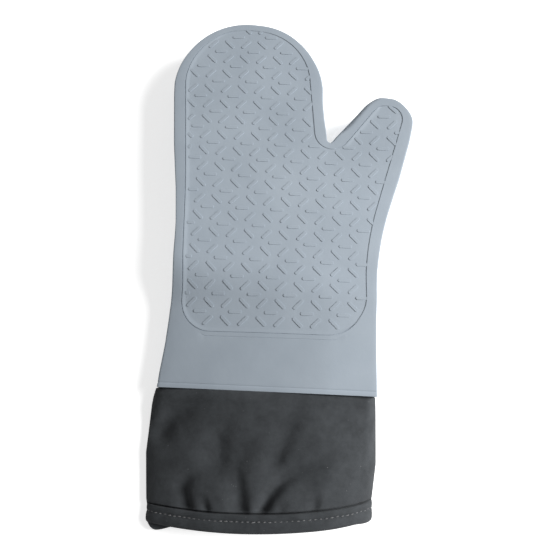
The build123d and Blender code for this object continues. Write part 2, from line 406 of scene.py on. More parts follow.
def hand_path(rim_y=RIM_Y):
    """The hand's outline from the rim's outer end, round the fingertips and the thumb, to its inner end,
    with the rows of the rim at both ends. Returns points, normals, how far each point is drawn in
    and 1 on the thumb's softer inner side."""
    rows = rim_y + RIM_ROWS
    left, right = wrist_x(rows)
    corners = np.array(CORNERS)[:, :2]
    corners[CROTCH_CORNER] += CROTCH_DEEPER
    points = [(left[-1], rows[-1]), *corners, (right[-1], rows[-1])]
    radii = [CROTCH_RADIUS if k == CROTCH_CORNER else corner[2] for k, corner in enumerate(CORNERS)]
    places, normals = rounded_path(points, [0] + radii + [0], False)
    path = np.concatenate([np.column_stack([left, rows]), places, np.column_stack([right, rows])[::-1]])
    normals = np.pad(normals, ((len(rows), len(rows)), (0, 0)), "edge")
    tucks = (OUTER_TUCK, INNER_TUCK, TIP_TUCK, THUMB_INNER_TUCK)
    outer, inner, tip, thumb_inner = (np.interp(path[:, 1], *np.transpose(knots)) for knots in tucks)
    side = smooth((normals[:, 0] + SIDE_TURN) / (2 * SIDE_TURN))
    tuck = outer + side * (inner - outer) + tip * np.maximum(normals[:, 1], 0)
    thumb = np.prod(smooth((path - THUMB_TUCK_START) / THUMB_TUCK_REACH), 1)
    tuck += THUMB_OUTER_TUCK * thumb * np.clip(normals[:, 0], 0, 1)
    soft = smooth((normals @ THUMB_INNER_WAY - SOFT_START) / SOFT_GROWTH) * (path[:, 0] > CROTCH[0])
    tuck += soft * (thumb_inner - tuck)
    return path, normals, tuck, soft


def panel_path():
    """The outline that the grip panel's edge keeps its margin from, closed across the wrist."""
    end_y = PANEL_END_Y - PANEL_MARGIN
    left, right = wrist_x(end_y)
    points = [(left, end_y)] + [(x, y) for x, y, radius in CORNERS] + [(right, end_y)]
    radii = [min(radius, PANEL_BEND) for x, y, radius in CORNERS]
    radii = [PANEL_CORNER + PANEL_MARGIN] + radii + [PANEL_INNER_CORNER + PANEL_MARGIN]
    return rounded_path(points, radii, True)


def arch_drop(across, power, left, right):
    """Drop of an arch at a share across it, -1 at the left and 1 at the right: a power of the distance from
    the crest, reaching the two given drops at its sides."""
    west = np.clip((ARCH_CREST - across) / (1 + ARCH_CREST), 0, None) ** power
    east = np.clip((across - ARCH_CREST) / (1 - ARCH_CREST), 0, None) ** power
    return left * west + right * east


def outline_share(x, y, reach):
    """1 on the hand's outline, falling to 0 at a reach inside it as the square of what is left of it."""
    inside = signed_inside(np.column_stack([np.ravel(x), np.ravel(y)]), hand_path()[0])
    return np.clip(1 - inside.reshape(np.shape(x)) / reach, 0, 1) ** 2


def hand_top(x, y):
    """Height of the hand's palm side: a low arch across the palm, one across the wrist whose drop grows
    towards the cuff, a slight lean towards the thumb, a drop round the outline and slow waves."""
    left, right = wrist_x(np.minimum(y, ARCH_START_Y))
    across = np.minimum((2 * x - left - right) / (right - left), 1)
    below = ARCH_START_Y - y
    grown = (1 - ARCH_REST) * smooth(below / ARCH_LENGTH) + ARCH_REST * smooth(below / ARCH_REST_LENGTH)
    arch = (PALM_ARCH + (1 - PALM_ARCH) * grown) * arch_drop(across, ARCH_POWER, ARCH_HEIGHT, ARCH_RIGHT)
    lean = np.interp(y, *np.transpose(LEAN)) * np.clip(x - LEAN_X, 0, None)
    risen = smooth((y - THUMB_RISE_Y[0]) / np.ptp(THUMB_RISE_Y))
    lean -= THUMB_RISE * np.clip(x - THUMB_RISE_X, 0, None) * risen
    crown = CROWN * smooth((CROWN_SIDE[0] - x) / CROWN_SIDE[1]) * outline_share(x, y, CROWN_REACH)
    uneven = PALM_WAVE[0] * np.sin(x / PALM_WAVE[1] + PALM_WAVE[3]) * np.sin(y / PALM_WAVE[2])
    uneven += SKIN_WAVE[0] * np.sin(x / SKIN_WAVE[1] - y / SKIN_WAVE[2])
    return THICKNESS - TOP_GAP - arch - lean - crown + uneven


def hand_low(x, y):
    """Height of the hand's back above the floor: flat, rising towards the outline, and flat at the rim."""
    return UNDER_CROWN * outline_share(x, y, UNDER_REACH) * smooth((y - RIM_Y - RIM_ROWS[-1]) / UNDER_START)


def signed_inside(points, loop):
    """Distance of points from a closed polygon, positive inside it: the least distance to its sides,
    with the sign from the number of sides crossed by a ray along +X."""
    a, b = loop, np.roll(loop, -1, 0)
    way = b - a
    rel = points[:, None] - a[None]
    share = np.clip((rel * way).sum(2) / (way**2).sum(1), 0, 1)
    least = np.hypot(*np.moveaxis(rel - share[..., None] * way, 2, 0)).min(1)
    y = points[:, None, 1]
    spans = (a[:, 1] > y) != (b[:, 1] > y)
    slope = np.where(way[:, 1] == 0, 1e-9, way[:, 1])
    crossing = a[:, 0] + (y - a[:, 1]) * way[:, 0] / slope
    inside = (spans & (points[:, None, 0] < crossing)).sum(1) % 2
    return np.where(inside, least, -least)


def grid_faces(rows, columns, start=0, closed=False):
    """Quads of a grid of rows by columns, with the last column joined to the first where it is closed."""
    index = start + np.arange(rows * columns).reshape(rows, columns)
    after = np.roll(index, -1, 1) if closed else index[:, 1:]
    here = index if closed else index[:, :-1]
    quads = np.stack([here[:-1], after[:-1], after[1:], here[1:]], -1)
    return quads.reshape(-1, 4)


def flat_fill(loops, points):
    """Triangles in the plane between closed loops, through given points: a constrained Delaunay net."""
    places = [Vector(p) for loop in loops for p in loop] + [Vector(p) for p in points]
    edges, first = [], 0
    for loop in loops:
        index = np.arange(first, first + len(loop))
        edges += np.column_stack([index, np.roll(index, -1)]).tolist()
        first += len(loop)
    net = delaunay_2d_cdt(places, edges, [], 0, FILL_MERGE)
    flat, triangles = np.array([tuple(p) for p in net[0]]), np.array(net[2])
    centre = flat[triangles].mean(1)
    kept = signed_inside(centre, np.asarray(loops[0])) > 0
    for hole in loops[1:]:
        kept &= signed_inside(centre, np.asarray(hole)) < 0
    return flat, triangles[kept]


def spread_points(loop, room, step):
    """A hexagonal net of points over a closed loop, kept a distance inside it."""
    low, high = loop.min(0), loop.max(0)
    columns = np.arange(low[0], high[0], step)
    rows = np.arange(low[1], high[1], step * FILL_ROW)
    x, y = np.meshgrid(columns, rows)
    x = x + (np.arange(len(rows)) % 2)[:, None] * step / 2
    points = np.column_stack([x.ravel(), y.ravel()])
    return points[signed_inside(points, loop) > room]


@contextmanager
def net_of(mesh, *others):
    """A net of one or more meshes, which is put into the first of them when the work on it is done."""
    net = bmesh.new()
    for each in (mesh, *others):
        net.from_mesh(each)
    yield net
    net.to_mesh(mesh)
    net.free()


def make_piece(name, parts, material, smooth_angle=None):
    """A mesh object from surfaces in millimetres. Edges that meet are merged, and faces point outwards."""
    places, faces, first = [], [], 0
    for points, polygons in parts:
        places.append(points)
        faces += (np.asarray(polygons) + first).tolist()
        first += len(points)
    mesh = bpy.data.meshes.new(name)
    mesh.from_pydata((np.concatenate(places) * MM).tolist(), [], faces)
    with net_of(mesh) as net:
        bmesh.ops.remove_doubles(net, verts=net.verts, dist=MERGE)
        bmesh.ops.recalc_face_normals(net, faces=net.faces)
    mesh.polygons.foreach_set("use_smooth", np.ones(len(mesh.polygons), bool))
    if smooth_angle is not None:
        mesh.set_sharp_from_angle(angle=np.radians(smooth_angle))
    piece = bpy.data.objects.new(name, mesh)
    piece.data.materials.append(material)
    bpy.context.scene.collection.objects.link(piece)
    return piece


def broad_share(normal):
    """1 where the panel's edge faces the outer side or the cuff, and 0 where it faces the other way."""
    return grown(normal @ BROAD_SIDE, BROAD_GROWTH)


def panel_margin(path, normal):
    """Distance of the panel's edge from the outline, growing gently from its broad side to its crisp one
    and, on the broad side, from the lower half of the palm upwards."""
    low = smooth((DRAW_END_Y - path[:, 1]) / DRAW_LENGTH)
    return PANEL_MARGIN - PANEL_DRAW * low * grown(normal @ BROAD_SIDE, MARGIN_GROWTH)


def lower_share(normal):
    """1 where the panel's edge runs across the wrist, and 0 elsewhere."""
    return grown(-normal[:, 1], LOWER_GROWTH)


def edge_rings(normal):
    """Distances into the panel of the rings that make its edge, as rings by points: the same all round, but
    with the first of them spread out over the second line at the lower end."""
    rings = np.repeat(PANEL_EDGE[:, None], len(normal), 1)
    count = len(LOWER_EDGE)
    rings[:count] += (LOWER_EDGE - PANEL_EDGE[:count])[:, None] * lower_share(normal)
    return rings


def score(into):
    """A narrow slot: 1 over its width, falling to 0 over its two flanks."""
    return 1 - smooth((np.abs(into) - SCORE_HALF) / SCORE_FLANK)


def panel_step(into, normal):
    """Depth of the grip panel at a distance into it from its edge: an S-shaped step down to the floor, crisp
    where the edge faces the thumb, broad with a scored line where it faces the outer side or the cuff."""
    broad = broad_share(normal)
    width = CRISP_EDGE + broad * (BROAD_EDGE - CRISP_EDGE)
    scored = grown(normal @ BROAD_SIDE, SCORE_GROWTH)
    line = SCORE_DEPTH * scored * score(into)
    lower_line = LOWER_SCORE * lower_share(normal) * score(into - LOWER_LINE)
    return PANEL_DEPTH * smooth(into / width) + line + lower_line


def hand_skin(inset, detailed, rim_y=RIM_Y):
    """Skin of the hand, open at the rim, drawn in by an inset: a half superellipse carried along the outline
    makes the side, and flat nets lifted to the palm side and the back close it. Returns its surfaces."""
    path, normal, tuck, soft = hand_path(rim_y)
    last = len(path) - 1
    turn = np.linspace(-np.pi / 2, np.pi / 2, 2 * SIDE_TURNS + 1)
    narrow = CROTCH_NARROWING * bump(np.hypot(*(path - CROTCH).T) / CROTCH_REACH)
    shoulder = np.maximum(SHOULDER - narrow - tuck - inset / 2, LEAST_SHOULDER)
    upper = SQUARENESS + soft * (SOFT_SQUARENESS - SQUARENESS)
    power = 2 / np.where(turn[:, None] > 0, upper, LOWER_SQUARENESS)
    depth = tuck + inset + shoulder * (1 - np.sqrt(1 - np.sin(turn) ** 2)[:, None] ** power)
    x = path[:, 0] - depth * normal[:, 0]
    y = path[:, 1] - depth * normal[:, 1]
    y[:, :len(RIM_ROWS)] = rim_y + RIM_ROWS
    y[:, last + 1 - len(RIM_ROWS):] = (rim_y + RIM_ROWS)[::-1]
    lift = np.sign(turn)[:, None] * np.abs(np.sin(turn))[:, None] ** power
    top, low = hand_top(x, y) - inset, hand_low(x, y) + inset
    widest = low + EQUATOR * (top - low)
    z = widest + lift * np.where(lift > 0, top - widest, widest - low)
    side = np.stack([x, y, z], -1)
    parts = [(side.reshape(-1, 3), grid_faces(len(turn), len(path)))]

    share = np.linspace(0, 1, RIM_COLUMNS + 1)[1:-1]
    ring = side[-1][:, :2]
    across = ring[0] + share[:, None] * (ring[-1] - ring[0])
    border = np.concatenate([ring, across[::-1]])
    rim = range(1, len(RIM_ROWS))
    rows = np.concatenate([ring[k] + share[:, None] * (ring[last - k] - ring[k]) for k in rim])
    if detailed:
        path_in, normal_in = panel_path()
        rings = edge_rings(normal_in)
        edge = path_in[None] - (panel_margin(path_in, normal_in) + rings)[..., None] * normal_in[None]
        step = panel_step(rings, normal_in)
        outer, inner = edge[0], edge[-1]
        points = spread_points(border, MARGIN_ROOM, FILL_STEP)
        clear = points[:, 1] > RIM_Y + RIM_ROWS[-1] + PANEL_ROOM
        points = points[(signed_inside(points, outer) < -PANEL_ROOM) & clear]
        margin = flat_fill([border, outer], np.concatenate([rows, points]))
        floor = flat_fill([inner], spread_points(inner, FLOOR_ROOM, FILL_STEP))
        nets = [(margin, 0.0), (floor, PANEL_DEPTH)]
    else:
        points = spread_points(border, COARSE_ROOM, 2 * FILL_STEP)
        points = points[points[:, 1] > rim_y + RIM_ROWS[-1] + COARSE_ROOM]
        nets = [(flat_fill([border], np.concatenate([rows, points])), 0.0)]
    for way, level in ((1, hand_top), (-1, hand_low)):
        for (flat, triangles), sunk in nets:
            height = level(*flat.T) - way * (inset + sunk)
            parts.append((np.column_stack([flat, height]), triangles))
        if detailed:
            height = level(edge[..., 0], edge[..., 1]) - way * step
            lifted = np.concatenate([edge, height[..., None]], -1)
            parts.append((lifted.reshape(-1, 3), grid_faces(*edge.shape[:2], closed=True)))
    return parts


def on_thumb(places):
    """Which points in the plane are on the thumb: past the line where it bends, on its side of the gap."""
    away = places - CROTCH
    return (away @ GAP_SIDE > 0) & (away @ THUMB_ALONG > 0)


def face_middles(net):
    """Middles of a net's faces in the plane, in millimetres."""
    return np.array([face.calc_center_median()[:2] for face in net.faces]) / MM


def join_rims(net):
    """Joins the two open rims of a net with a band of faces, and turns all its faces outwards."""
    bmesh.ops.bridge_loops(net, edges=[edge for edge in net.edges if edge.is_boundary])
    bmesh.ops.recalc_face_normals(net, faces=net.faces)


def join_skins(piece, inner_parts, material):
    """Makes a wall of a piece's skin: an inner skin, turned inwards, is joined to it at the rim."""
    inner = make_piece("inner_skin", inner_parts, material)
    inner.data.flip_normals()
    with net_of(piece.data, inner.data) as net:
        join_rims(net)
    bpy.data.objects.remove(inner)


def split_thumb(piece, name):
    """Cuts a piece where the thumb joins the hand. The thumb's side becomes a piece of its own."""
    thumb = piece.copy()
    thumb.data = piece.data.copy()
    thumb.name = thumb.data.name = name
    bpy.context.scene.collection.objects.link(thumb)
    place, way = Vector((*(CROTCH * MM), 0)), Vector((*THUMB_ALONG, 0))
    for part, keep_thumb in ((piece, False), (thumb, True)):
        with net_of(part.data) as net:
            beside = (face_middles(net) - CROTCH) @ GAP_SIDE > 0
            near = [face for face, is_near in zip(net.faces, beside) if is_near]
            around = dict.fromkeys(item for face in near for item in (face, *face.edges, *face.verts))
            bmesh.ops.bisect_plane(net, geom=list(around), dist=CUT_MERGE, plane_co=place, plane_no=way)
            past = on_thumb(face_middles(net))
            other = [face for face, on_it in zip(net.faces, past) if on_it != keep_thumb]
            bmesh.ops.delete(net, geom=other, context="FACES")
            join_rims(net)
    return thumb


def score_rim(piece):
    """Raises a bead round the rim and sinks a line above it, along the normals, by height above the rim."""
    mesh = piece.data
    places, normals = np.empty((2, len(mesh.vertices), 3))
    mesh.vertices.foreach_get("co", places.ravel())
    mesh.vertices.foreach_get("normal", normals.ravel())
    above = places[:, 1] / MM - RIM_Y
    bead = BEAD_HEIGHT * np.sqrt(np.clip(1 - (above / BEAD_WIDTH * 2 - 1) ** 2, 0, 1))
    line = GROOVE_DEPTH * bump((above - BEAD_WIDTH - GROOVE_HALF) / GROOVE_HALF)
    flat = normals * [1, 0, 1]
    flat /= np.maximum(np.linalg.norm(flat, axis=1), 1e-9)[:, None]
    outside = (above < RIM_ROWS[-1]) & (np.abs(normals[:, 1]) < RIM_FACING)
    places[outside] += (flat * ((bead - line) * MM)[:, None])[outside]
    places[:, 2] = np.maximum(places[:, 2], 0)
    mesh.vertices.foreach_set("co", places.ravel())
    mesh.update()


def bar_places(panel_loop):
    """Middle, direction and half length of each bar of the tread. Rows step sideways by half a pitch, and
    each cell holds a bar slanting down, one slanting up and a level one. A bar that meets the panel's edge
    ends in it, and one that lies along it or is cut too short is left out."""
    rows, columns = np.meshgrid(BAR_ROWS, BAR_COLUMNS, indexing="ij")
    x = BAR_ORIGIN[0] + BAR_PITCH * (columns + (rows % 2) / 2).ravel()
    y = BAR_ORIGIN[1] - BAR_ROW * rows.ravel()
    x = x + BAR_LEAN * (y - BAR_ORIGIN[1])
    level = np.column_stack([x + BAR_PITCH * LEVEL_BAR_PLACE, y - BAR_ROW / 2])
    middle = np.concatenate([np.column_stack([x, y]), np.column_stack([x + BAR_PITCH / 2, y]), level])
    turn = np.repeat([-BAR_SLANT, BAR_SLANT, 0.0], len(x))
    way = np.column_stack([np.cos(turn), np.sin(turn)])
    reach = np.linspace(-0.5, 0.5, BAR_SAMPLES) * BAR_LENGTH
    along = middle[:, None] + reach[None, :, None] * way[:, None]
    depth = signed_inside(along.reshape(-1, 2), panel_loop).reshape(len(middle), -1)
    inside = depth > 0
    first = np.where(inside, reach, np.inf).min(1)
    final = np.where(inside, reach, -np.inf).max(1)
    clear = (turn != 0) | (middle[:, 1] > panel_loop[:, 1].min() + LEVEL_BAR_ROOM)
    clear &= depth.max(1) > BAR_LEAST_DEPTH
    kept = clear & (final - first > BAR_SHORTEST)
    first, final = first[kept], final[kept]
    centre = middle[kept] + ((first + final) / 2)[:, None] * way[kept]
    return centre, way[kept], (final - first) / 2


def capped_tubes(count, rings, sides):
    """Faces of a number of like tubes of rings by sides, closed at both ends by rows of quads."""
    size = rings * sides
    low = np.arange(sides // 2 - 1)
    cap = np.column_stack([low, low + 1, sides - 2 - low, sides - 1 - low])
    faces = np.concatenate([grid_faces(rings, sides, closed=True), cap + size - sides, cap[:, ::-1]])
    return (np.arange(count)[:, None, None] * size + faces).reshape(-1, 4)


def tread_bars(back):
    """The bars as low pills: a slot outline of two half circles, carried up a profile that rounds in at the
    top. Returns points, faces and the middle of the bar that each point belongs to."""
    path_in, normal_in = panel_path()
    broad = broad_share(normal_in)
    room = BAR_END_GAP * broad - BAR_END_ROOM * (1 - broad)
    loop = path_in - (panel_margin(path_in, normal_in) + room)[:, None] * normal_in
    centre, way, half = bar_places(loop)
    angle = (np.arange(BAR_TURNS) + 0.5) / BAR_TURNS * 2 * np.pi
    round_x, round_y = np.cos(angle), np.sin(angle)
    share, height = np.array(BAR_PROFILE).T[..., None]
    radius = BAR_WIDTH / 2 * share
    along = np.sign(round_x) * (half[:, None, None] - BAR_WIDTH / 2) + radius * round_x
    beside = np.broadcast_to(radius * round_y, along.shape)
    cross = np.column_stack([-way[:, 1], way[:, 0]])
    flat = along[..., None] * way[:, None, None] + beside[..., None] * cross[:, None, None]
    flat += centre[:, None, None]
    side, level, deeper = (-1, hand_low, np.maximum) if back else (1, hand_top, np.minimum)
    foot = level(*centre.T)[:, None, None] - side * PANEL_DEPTH
    z = level(flat[..., 0], flat[..., 1]) - side * PANEL_DEPTH + side * height
    z = np.where(height < 0, deeper(z, foot), z)
    points = np.concatenate([flat, z[..., None]], -1)
    count, rings = z.shape[:2]
    return points.reshape(-1, 3), capped_tubes(count, rings, BAR_TURNS), np.repeat(centre, z[0].size, 0)


def add_bars(hand, thumb):
    """Joins each bar to the piece of the hand that it stands on."""
    for piece, is_thumb in ((hand, False), (thumb, True)):
        with net_of(piece.data) as whole:
            for back in (False, True):
                points, faces, centre = tread_bars(back)
                faces = faces[on_thumb(centre)[faces[:, 0]] == is_thumb]
                used, inverse = np.unique(faces, return_inverse=True)
                mesh = bpy.data.meshes.new("bars")
                mesh.from_pydata((points[used] * MM).tolist(), [], inverse.reshape(faces.shape).tolist())
                with net_of(mesh) as bars:
                    bmesh.ops.recalc_face_normals(bars, faces=bars.faces)
                whole.from_mesh(mesh)
                bpy.data.meshes.remove(mesh)
        piece.data.polygons.foreach_set("use_smooth", np.ones(len(piece.data.polygons), bool))
        piece.data.set_sharp_from_angle(angle=np.radians(BAR_SHARP))


def make_hand(material):
    """Silicone hand and thumb: an outer and an inner skin joined at the rim, cut at the thumb, with bars on
    both sides."""
    hand = make_piece("silicone_hand", hand_skin(0, True), material)
    score_rim(hand)
    join_skins(hand, hand_skin(WALL, False), material)
    thumb = split_thumb(hand, "silicone_thumb")
    add_bars(hand, thumb)
    return hand, thumb


def quilted(parts, sign):
    """Swells a skin into quilted puffs: each point moves along Z by the product of two sines, without their
    signs, on a slanted square net, in towards the hand where sign is 1 and not at all where it is 0."""
    out = []
    for points, faces in parts:
        u = (points[:, 0] + points[:, 1]) / QUILT_PITCH
        v = (points[:, 0] - points[:, 1]) / QUILT_PITCH
        puff = QUILT_PUFF * np.abs(np.sin(np.pi * u) * np.sin(np.pi * v))
        level = (points[:, 2] - MIDDLE) / MIDDLE
        moved = points.copy()
        moved[:, 2] -= sign * puff * np.sign(level) * smooth((np.abs(level) - QUILT_LEVEL) / QUILT_LEVEL)
        out.append((moved, faces))
    return out


def make_layer(name, inset, thickness, puffed, material):
    """A layer inside the hand: an outer and an inner skin joined at the rim, cut at the thumb."""
    layer = make_piece(name, hand_skin(inset, False, LAYER_END_Y), material)
    join_skins(layer, quilted(hand_skin(inset + thickness, False, LAYER_END_Y), puffed), material)
    return layer, split_thumb(layer, name.replace("hand", "thumb"))


def hem_y(x, lift):
    """The hem's bowed edge: the circle through its three points, as y at each x, with the back, where lift
    is below 0, longer at the outer corner."""
    (ax, ay), (bx, by), (cx, cy) = HEM_EDGE
    d = 2 * (ax * (by - cy) + bx * (cy - ay) + cx * (ay - by))
    a2, b2, c2 = ax**2 + ay**2, bx**2 + by**2, cx**2 + cy**2
    ux = (a2 * (by - cy) + b2 * (cy - ay) + c2 * (ay - by)) / d
    uy = (a2 * (cx - bx) + b2 * (ax - cx) + c2 * (bx - ax)) / d
    radius = np.hypot(ax - ux, ay - uy)
    corner = CORNER_DROP * smooth((CORNER_X - x) / CORNER_REACH) * smooth(-lift)
    return uy - np.sqrt(radius**2 - (x - ux) ** 2) - corner


def cuff_loop(columns):
    """Once round a flattened tube as unit shares: along the top from left to right, round the right side,
    back along the underside and round the left side. Returns the share across, how far out on the side
    each point is, and its height: 1 on the top and -1 on the underside."""
    across = np.linspace(-1, 1, columns)
    turn = np.linspace(np.pi / 2, -np.pi / 2, CUFF_SIDE_TURNS)[1:-1]
    level, end = np.ones_like(across), np.ones_like(turn)
    share = np.concatenate([across, end, across[::-1], -end])
    out = np.concatenate([0 * across, np.cos(turn), 0 * across, -np.cos(turn)])
    lift = np.concatenate([level, np.sin(turn), -level, np.sin(turn[::-1])])
    return share, out, lift


def cuff_points(y, inset, columns):
    """Points of the cuff's tube at rows of y, drawn in by an inset: a flat underside, an arched top and half
    elliptic sides, with left, right, top and arch taken from the sections."""
    knots = CUFF_SECTIONS[::-1].T
    left, right, top, west, east = (np.interp(y, knots[0], values) for values in knots[1:])
    share, out, lift = cuff_loop(columns)
    middle, half = (left + right) / 2, (right - left) / 2 - CUFF_SIDE
    side = CUFF_SIDE - inset
    x = middle + half * share + side * out
    top_z = top - inset - arch_drop(share + out * side / half, CUFF_ARCH_POWER, west, east)
    low_z = CUFF_BOTTOM + inset
    centre = (top_z + low_z) / 2
    z = np.where(lift > 0, centre + (top_z - centre) * lift, centre + (centre - low_z) * lift)
    y = np.broadcast_to(y, x.shape)
    return np.stack([x, y, z], -1)


def crease(x, y, points, depth, width, spread, flank):
    """A fold whose right flank lies on a bent line that runs from the hem upwards: a bell of the distance
    from a valley beside the line, whose left flank is wider. It is as deep as depth times its width, widens
    and fades upwards, slowly at first."""
    points = np.asarray(points, float)
    share = np.linspace(0, 1, CREASE_STEPS)
    knots = np.linspace(0, 1, len(points))
    line = np.column_stack([np.interp(share, knots, points[:, k]) for k in (0, 1)])
    way = np.gradient(line, axis=0)
    way /= np.linalg.norm(way, axis=1)[:, None]
    beside = np.column_stack([way[:, 1], -way[:, 0]])
    wide = width + spread * share
    valley = line - VALLEY_SHIFT * wide[:, None] * beside
    east, north = x[..., None] - valley[:, 0], y[..., None] - valley[:, 1]
    far = np.hypot(east, north) + 1e-9
    right = (east * beside[:, 0] + north * beside[:, 1]) / far
    reach = wide * (1 + (flank - 1) * smooth((1 - right) / 2))
    bell = width * np.exp(-((far / reach) ** 2)) * (1 - CREASE_FADE * share**2)
    return depth * bell.max(-1)


def cuff_surface(inset, columns, start_y):
    """The cuff's cloth as a grid: rows run from the wrist to the bowed hem, and its palm side is sunk by the
    folds and by slow swells, held level at the wrist and drawn in by the hem's seam."""
    share = np.interp(np.linspace(0, 1, CUFF_ROWS), *ROW_SPREAD)[:, None]
    lift = cuff_loop(columns)[2]
    x = cuff_points(start_y + share * (HEM_LOW_Y - start_y), inset, columns)[..., 0]
    y = start_y + share * (hem_y(x, lift) + CUFF_END_LIFT - start_y)
    x, y, z = np.moveaxis(cuff_points(y, inset, columns), -1, 0)
    above_hem = y - hem_y(x, lift)
    centre = (z.max(1, keepdims=True) + CUFF_BOTTOM) / 2
    free = smooth((RIM_Y - CUFF_HELD - y) / CUFF_RIM_REACH)
    free = free * smooth((above_hem - HEM_BAND + CUFF_HELD) / CUFF_HEM_REACH)
    sunk = sum(crease(x, y, *facts) for facts in CREASES)
    a, b, c, d = SWELL_SIZES
    sunk = sunk - CUFF_SWELL * np.sin(x / a + y / b) * np.sin(y / c - x / d)
    sunk = sunk - CUFF_RIPPLE * np.sin(x / RIPPLE_SIZES[0] - y / RIPPLE_SIZES[1])
    seam = SEAM_DEPTH * np.exp(-(((above_hem - HEM_BAND - SEAM_ABOVE) / SEAM_HALF) ** 2))
    least = np.minimum(z, CUFF_BOTTOM + inset + CUFF_LEAST)
    z = np.where(lift > 0, np.maximum(z - smooth(lift / CUFF_FACE) * (free * sunk + seam), least), z)
    under = free * smooth((centre - z) / UNDER_SWELL_REACH)
    z = z + UNDER_SWELL * under * (1 + np.sin(x / UNDER_SIZES[0]) * np.sin(y / UNDER_SIZES[1] + 1.0))
    return np.stack([x, y, z], -1)


def thick_cloth(name, surface, thickness, material):
    """A cloth tube: a closed band of quads round the grid, thickened inwards by a Solidify modifier."""
    rows, columns = surface.shape[:2]
    piece = make_piece(name, [(surface.reshape(-1, 3), grid_faces(rows, columns, closed=True))], material)
    solid = piece.modifiers.new("thickness", "SOLIDIFY")
    solid.thickness = thickness * MM
    solid.offset = -1.0
    return piece


def make_cuff(fabric, lining):
    """The cuff's outer cloth and its lining, one tube inside the other."""
    outer = cuff_surface(0.0, CUFF_TOP_COLUMNS, CUFF_START_Y)
    inner = cuff_surface(CUFF_LINING_INSET, CUFF_TOP_COLUMNS // 2, CUFF_LINING_START_Y)
    return (
        thick_cloth("cuff_cloth", outer, CUFF_FABRIC, fabric),
        thick_cloth("cuff_lining", inner, LINING, lining),
    )


def hem_ring(columns):
    """Points on the cuff's outside at the hem, directions out of it in the XZ plane, and the hem's edge."""
    lift = cuff_loop(columns)[2]
    probe = cuff_points(np.array([[HEM_MIDDLE_Y]]), 0.0, columns)
    edge = hem_y(probe[0, :, 0], lift)
    loop = cuff_points(edge[None] + HEM_BAND / 2, 0.0, columns)[0]
    way = np.roll(loop, -1, 0) - np.roll(loop, 1, 0)
    out = np.column_stack([-way[:, 2], np.zeros(len(way)), way[:, 0]])
    return loop, out / np.linalg.norm(out, axis=1)[:, None], edge


def make_hem(material):
    """The hem band: a U-shaped profile, folded round the cuff's edge, carried once round its loop. Its lower
    edge hangs lower at the inner corner, and its top waves a little."""
    loop, out, edge = hem_ring(CUFF_TOP_COLUMNS)
    x = loop[:, 0]
    above, off = HEM_PROFILE.T[..., None]
    points = loop + off[..., None] * out
    corner = INNER_CORNER_DROP * smooth((x - INNER_CORNER_X) / INNER_CORNER_REACH)
    points[..., 1] = edge + above - corner * np.clip(1 - above / HEM_BAND, 0, 1)
    wave = sum(height * np.sin(x / size + start) for height, size, start in HEM_WAVES)
    points[..., 2] += np.where(loop[:, 2] > MIDDLE, wave, 0) * smooth(above / HEM_BAND)
    points[..., 2] = np.maximum(points[..., 2], HEM_LEAST)
    closed = np.concatenate([points, points[:1]])
    faces = grid_faces(*closed.shape[:2], closed=True)
    return make_piece("hem_fold", [(closed.reshape(-1, 3), faces)], material, HEM_SHARP)


def make_stitches(material):
    """The topstitching: short capsules laid end to end along the dip in the hem band, all round the cuff,
    with a little chance in their lean, length and place."""
    loop, out, edge = hem_ring(4 * CUFF_TOP_COLUMNS)
    loop = loop + STITCH_OUT * out
    loop[:, 1] = edge + HEM_BAND - STITCH_LINE
    gaps = np.linalg.norm(np.roll(loop, -1, 0) - loop, axis=1)
    along = np.concatenate([[0], np.cumsum(gaps)])
    count = int(along[-1] / STITCH_PITCH)
    middle_at = (np.arange(count) + 0.5) * along[-1] / count

    def at(where, values):
        """Values of the closed loop at distances along it."""
        values = np.concatenate([values, values[:1]])
        return np.column_stack([np.interp(where % along[-1], along, values[:, k]) for k in range(3)])

    middle = at(middle_at, loop)
    normal = at(middle_at, out)
    normal /= np.linalg.norm(normal, axis=1)[:, None]
    way = at(middle_at + STITCH_PROBE, loop) - at(middle_at - STITCH_PROBE, loop)
    way /= np.linalg.norm(way, axis=1)[:, None]
    cross = np.cross(normal, way)
    chance = np.random.default_rng(STITCH_SEED)
    lean = STITCH_LEAN * (1 + chance.uniform(-1, 1, (count, 1)))
    longer = chance.uniform(*STITCH_SHARES, (count, 1, 1))
    middle = middle + STITCH_STRAY * chance.uniform(-1, 1, (count, 1)) * cross
    way, cross = way * np.cos(lean) + cross * np.sin(lean), cross * np.cos(lean) - way * np.sin(lean)
    reach, girth, out_by = STITCH_RINGS.T[..., None]
    angle = (np.arange(STITCH_SIDES) / STITCH_SIDES * 2 * np.pi)[:, None]
    ring = cross[:, None, None] * np.cos(angle) + normal[:, None, None] * np.sin(angle)
    spine = middle[:, None] + STITCH_LENGTH * longer * reach * way[:, None] + out_by * normal[:, None]
    points = spine[:, :, None] + STITCH_WIDTH / 2 * girth[..., None] * ring
    faces = capped_tubes(count, len(reach), STITCH_SIDES)
    return make_piece("topstitching", [(points.reshape(-1, 3), faces)], material)


def new_material(name):
    """A procedural material, its node tree and its shader."""
    material = bpy.data.materials.new(name)
    material.use_nodes = True
    return material, material.node_tree, material.node_tree.nodes["Principled BSDF"]


def set_inputs(tree, node, inputs):
    """Sets inputs of a node: a wire where an output is given, and a value otherwise."""
    for name, value in inputs.items():
        if isinstance(value, bpy.types.NodeSocket):
            tree.links.new(value, node.inputs[name])
        else:
            node.inputs[name].default_value = value


def add_node(tree, kind, inputs, **settings):
    """A shader node with its settings and inputs. Returns its outputs."""
    node = tree.nodes.new("ShaderNode" + kind)
    for name, value in settings.items():
        setattr(node, name, value)
    set_inputs(tree, node, inputs)
    return node.outputs


def math_of(tree, operation, *inputs):
    """The result of a mathematical operation on outputs and numbers."""
    return add_node(tree, "Math", dict(enumerate(inputs)), operation=operation)[0]


